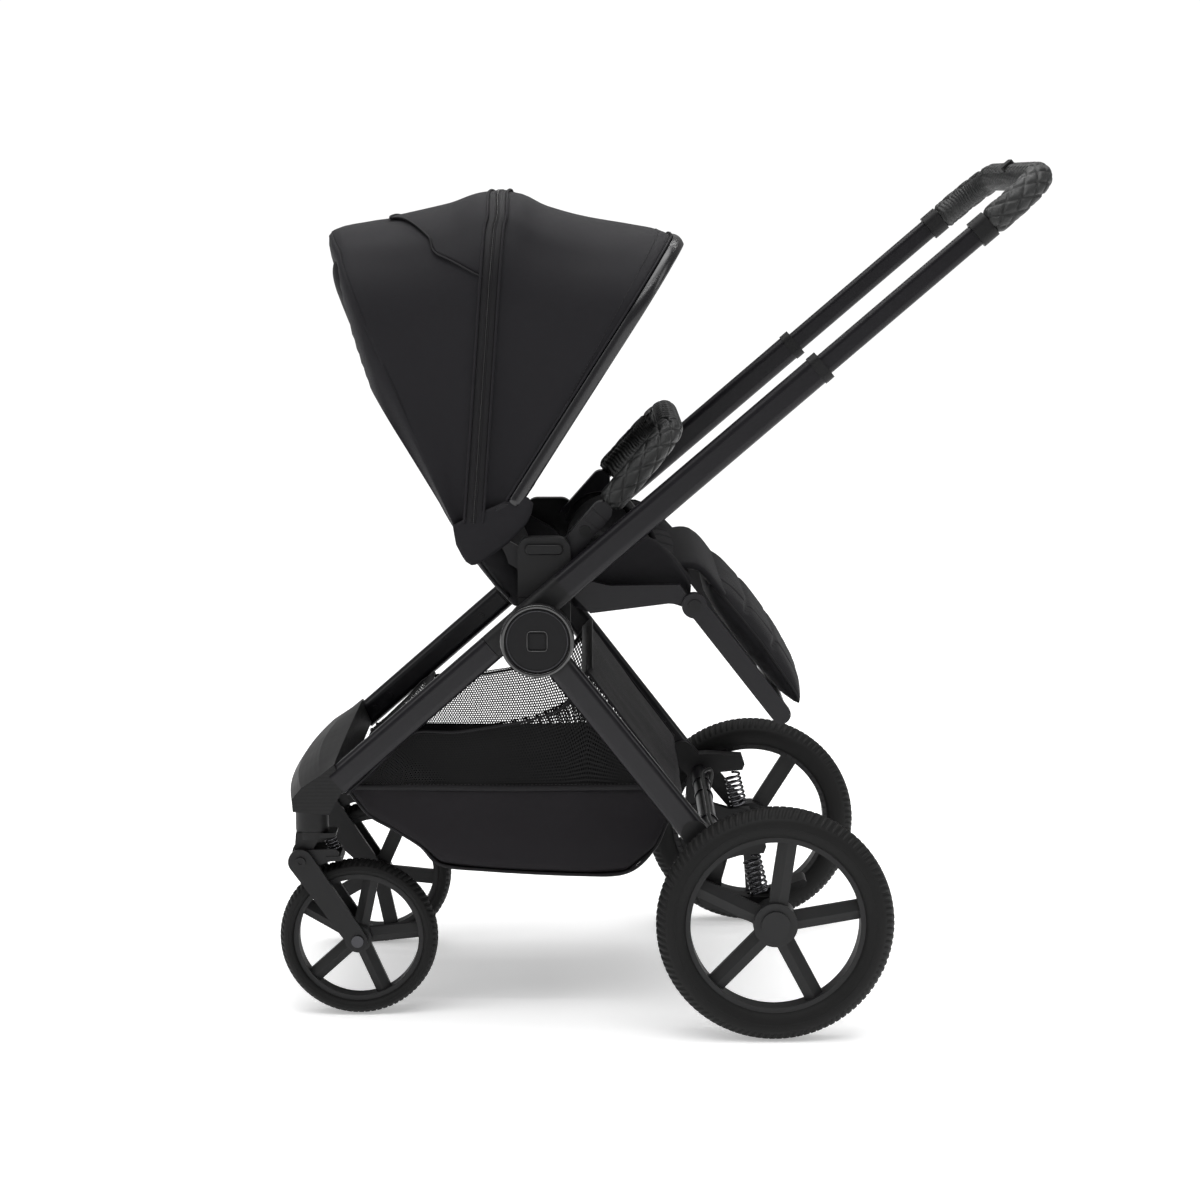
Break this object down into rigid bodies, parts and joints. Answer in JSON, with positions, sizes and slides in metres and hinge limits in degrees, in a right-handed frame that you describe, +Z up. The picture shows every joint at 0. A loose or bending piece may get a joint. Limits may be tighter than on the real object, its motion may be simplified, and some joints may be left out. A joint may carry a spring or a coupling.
{
  "type": "pushchair",
  "caption": "Folding pushchair with a parent-facing reclining seat, two-bow canopy, storage basket, sprung rear wheels and swivelling front wheels.",
  "frame": {"origin": "centre of the overall outline, on the ground under the wheels", "axes": "-X is the direction of travel, Y across the width (left is -Y), +Z up"},
  "size_m": [0.9442, 0.602, 1.0621],
  "materials": {
    "tube_black": "satin anodised black aluminium",
    "moulded_black": "fine-grained moulded plastic",
    "wheel_black": "matt moulded wheel body",
    "gloss_black": "polished black",
    "axle_steel": "black oxide steel",
    "spring_steel": "dark plated spring wire",
    "tyre_black": "treaded puncture-proof tyre",
    "cable_black": "cable sleeve",
    "leatherette": "quilted leatherette",
    "canopy_fabric": "tightly woven canopy cloth",
    "seat_fabric": "padded seat cloth",
    "basket_fabric": "basket cloth and mesh"
  },
  "bodies": {
    "chassis": {"front_legs": "tube_black", "leg_sockets": "moulded_black", "hub_axle": "axle_steel", "hub_caps": "gloss_black", "front_panel": "moulded_black", "caster_housings": "moulded_black", "basket": "basket_fabric"},
    "handle": {"handle_sockets": "moulded_black", "handle_sleeves": "tube_black", "sleeve_collars": "moulded_black"},
    "telescope": {"handle_bow": "tube_black", "handle_grip": "leatherette", "grip_collars": "moulded_black"},
    "telescope_button": {"telescope_button": "moulded_black"},
    "rear_frame": {"rear_legs": "tube_black", "rear_sockets": "moulded_black", "rear_cross_tube": "tube_black", "suspension_brackets": "moulded_black", "brake_cable": "cable_black", "rear_spring_left": "spring_steel", "rear_spring_right": "spring_steel"},
    "brake_pedal": {"brake_pedal": "moulded_black"},
    "seat": {"seat_brackets": "moulded_black", "seat_frame": "tube_black", "seat_pad": "seat_fabric"},
    "backrest": {"backrest_frame": "tube_black", "backrest_pad": "seat_fabric", "canopy_rear_panel": "canopy_fabric"},
    "canopy_middle": {"canopy_mid_bow": "moulded_black", "canopy_front_panel": "canopy_fabric"},
    "canopy_front": {"canopy_front_bow": "gloss_black"},
    "legrest": {"legrest_frame": "tube_black", "legrest_pad": "seat_fabric"},
    "bumper": {"bumper_bar": "tube_black", "bumper_grip": "leatherette"},
    "trailing_arm_left": {"trailing_arm_left": "moulded_black"},
    "rear_wheel_left": {"rear_rim_left": "wheel_black", "rear_tyre_left": "tyre_black"},
    "caster_left": {"caster_yoke_left": "moulded_black", "front_spring_left": "spring_steel"},
    "fork_left": {"fork_left": "moulded_black", "front_axle_left": "axle_steel"},
    "front_wheel_left": {"front_rim_left": "wheel_black", "front_tyre_left": "tyre_black"},
    "seat_release_left": {"seat_release_left": "moulded_black"},
    "bumper_button_left": {"bumper_button_left": "moulded_black"},
    "legrest_button_left": {"legrest_button_left": "moulded_black"},
    "trailing_arm_right": {"trailing_arm_right": "moulded_black"},
    "rear_wheel_right": {"rear_rim_right": "wheel_black", "rear_tyre_right": "tyre_black"},
    "caster_right": {"caster_yoke_right": "moulded_black", "front_spring_right": "spring_steel"},
    "fork_right": {"fork_right": "moulded_black", "front_axle_right": "axle_steel"},
    "front_wheel_right": {"front_rim_right": "wheel_black", "front_tyre_right": "tyre_black"},
    "seat_release_right": {"seat_release_right": "moulded_black"},
    "bumper_button_right": {"bumper_button_right": "moulded_black"},
    "legrest_button_right": {"legrest_button_right": "moulded_black"}
  },
  "joints": [
    {"name": "handle_fold", "type": "hinge", "parent": "chassis", "child": "handle", "pos_m": [-0.1465, 0, 0.492], "axis": [0, -1, 0], "range_deg": [0, 160]},
    {"name": "rear_leg_fold", "type": "hinge", "parent": "chassis", "child": "rear_frame", "pos_m": [-0.1465, 0, 0.492], "axis": [0, 1, 0], "range_deg": [0, 60]},
    {"name": "handle_telescope", "type": "slide", "parent": "handle", "child": "telescope", "axis": [-0.7587, 0, -0.6514], "range_m": [0, 0.18]},
    {"name": "telescope_release", "type": "slide", "parent": "telescope", "child": "telescope_button", "axis": [0.6514, 0, -0.7587], "range_m": [0, 0.004], "stiffness_N_per_m": 600},
    {"name": "seat_lift", "type": "slide", "parent": "chassis", "child": "seat", "axis": [0, 0, 1], "range_m": [0, 0.08]},
    {"name": "backrest_recline", "type": "hinge", "parent": "seat", "child": "backrest", "pos_m": [-0.139, 0, 0.56], "axis": [0, -1, 0], "range_deg": [0, 40]},
    {"name": "canopy_fold", "type": "hinge", "parent": "backrest", "child": "canopy_middle", "pos_m": [-0.186, 0, 0.636], "axis": [0, -1, 0], "range_deg": [0, 28]},
    {"name": "canopy_front_fold", "type": "hinge", "parent": "canopy_middle", "child": "canopy_front", "pos_m": [-0.186, 0, 0.636], "axis": [0, -1, 0], "range_deg": [0, 32]},
    {"name": "legrest_tilt", "type": "hinge", "parent": "seat", "child": "legrest", "pos_m": [0.0435, 0, 0.525], "axis": [0, -1, 0], "range_deg": [-20, 48]},
    {"name": "bumper_tilt", "type": "hinge", "parent": "seat", "child": "bumper", "pos_m": [-0.112, 0, 0.588], "axis": [0, -1, 0], "range_deg": [-8, 25]},
    {"name": "brake_pedal_press", "type": "hinge", "parent": "trailing_arm_left", "child": "brake_pedal", "pos_m": [0.1, -0.235, 0.157], "axis": [0, 1, 0], "range_deg": [0, 15]},
    {"name": "rear_suspension_left", "type": "hinge", "parent": "rear_frame", "child": "trailing_arm_left", "pos_m": [0.062, -0.242, 0.17], "axis": [0, -1, 0], "range_deg": [0, 9], "stiffness_Nm_per_rad": 90, "springref_deg": -6.88, "deforming": ["rear_spring_left"]},
    {"name": "rear_wheel_spin_left", "type": "hinge", "parent": "trailing_arm_left", "child": "rear_wheel_left", "pos_m": [0.141, -0.28, 0.145], "axis": [0, 1, 0], "continuous": true},
    {"name": "caster_swivel_left", "type": "hinge", "parent": "chassis", "child": "caster_left", "pos_m": [-0.43, -0.166, 0.236], "axis": [0, 0, 1], "continuous": true},
    {"name": "fork_suspension_left", "type": "hinge", "parent": "caster_left", "child": "fork_left", "pos_m": [-0.4425, -0.166, 0.2], "axis": [0, -1, 0], "range_deg": [0, 7], "stiffness_Nm_per_rad": 70, "springref_deg": -6.88, "deforming": ["front_spring_left"]},
    {"name": "front_wheel_spin_left", "type": "hinge", "parent": "fork_left", "child": "front_wheel_left", "pos_m": [-0.373, -0.166, 0.099], "axis": [0, 1, 0], "continuous": true},
    {"name": "seat_release_lift_left", "type": "slide", "parent": "seat", "child": "seat_release_left", "axis": [0, 0, 1], "range_m": [0, 0.004], "stiffness_N_per_m": 500},
    {"name": "bumper_release_left", "type": "slide", "parent": "bumper", "child": "bumper_button_left", "axis": [0, 1, 0], "range_m": [0, 0.002], "stiffness_N_per_m": 500},
    {"name": "legrest_release_left", "type": "slide", "parent": "legrest", "child": "legrest_button_left", "axis": [0, 1, 0], "range_m": [0, 0.0018], "stiffness_N_per_m": 500},
    {"name": "rear_suspension_right", "type": "hinge", "parent": "rear_frame", "child": "trailing_arm_right", "pos_m": [0.062, 0.242, 0.17], "axis": [0, -1, 0], "range_deg": [0, 9], "stiffness_Nm_per_rad": 90, "springref_deg": -6.88, "deforming": ["rear_spring_right"]},
    {"name": "rear_wheel_spin_right", "type": "hinge", "parent": "trailing_arm_right", "child": "rear_wheel_right", "pos_m": [0.141, 0.28, 0.145], "axis": [0, 1, 0], "continuous": true},
    {"name": "caster_swivel_right", "type": "hinge", "parent": "chassis", "child": "caster_right", "pos_m": [-0.43, 0.166, 0.236], "axis": [0, 0, 1], "continuous": true},
    {"name": "fork_suspension_right", "type": "hinge", "parent": "caster_right", "child": "fork_right", "pos_m": [-0.4425, 0.166, 0.2], "axis": [0, -1, 0], "range_deg": [0, 7], "stiffness_Nm_per_rad": 70, "springref_deg": -6.88, "deforming": ["front_spring_right"]},
    {"name": "front_wheel_spin_right", "type": "hinge", "parent": "fork_right", "child": "front_wheel_right", "pos_m": [-0.373, 0.166, 0.099], "axis": [0, 1, 0], "continuous": true},
    {"name": "seat_release_lift_right", "type": "slide", "parent": "seat", "child": "seat_release_right", "axis": [0, 0, 1], "range_m": [0, 0.004], "stiffness_N_per_m": 500},
    {"name": "bumper_release_right", "type": "slide", "parent": "bumper", "child": "bumper_button_right", "axis": [0, -1, 0], "range_m": [0, 0.002], "stiffness_N_per_m": 500},
    {"name": "legrest_release_right", "type": "slide", "parent": "legrest", "child": "legrest_button_right", "axis": [0, -1, 0], "range_m": [0, 0.0018], "stiffness_N_per_m": 500}
  ],
  "couplings": [
    {"joint": "rear_leg_fold", "follows": "handle_fold", "ratio": 0.375},
    {"joint": "canopy_front_fold", "follows": "canopy_fold", "ratio": 1.1428}
  ]
}
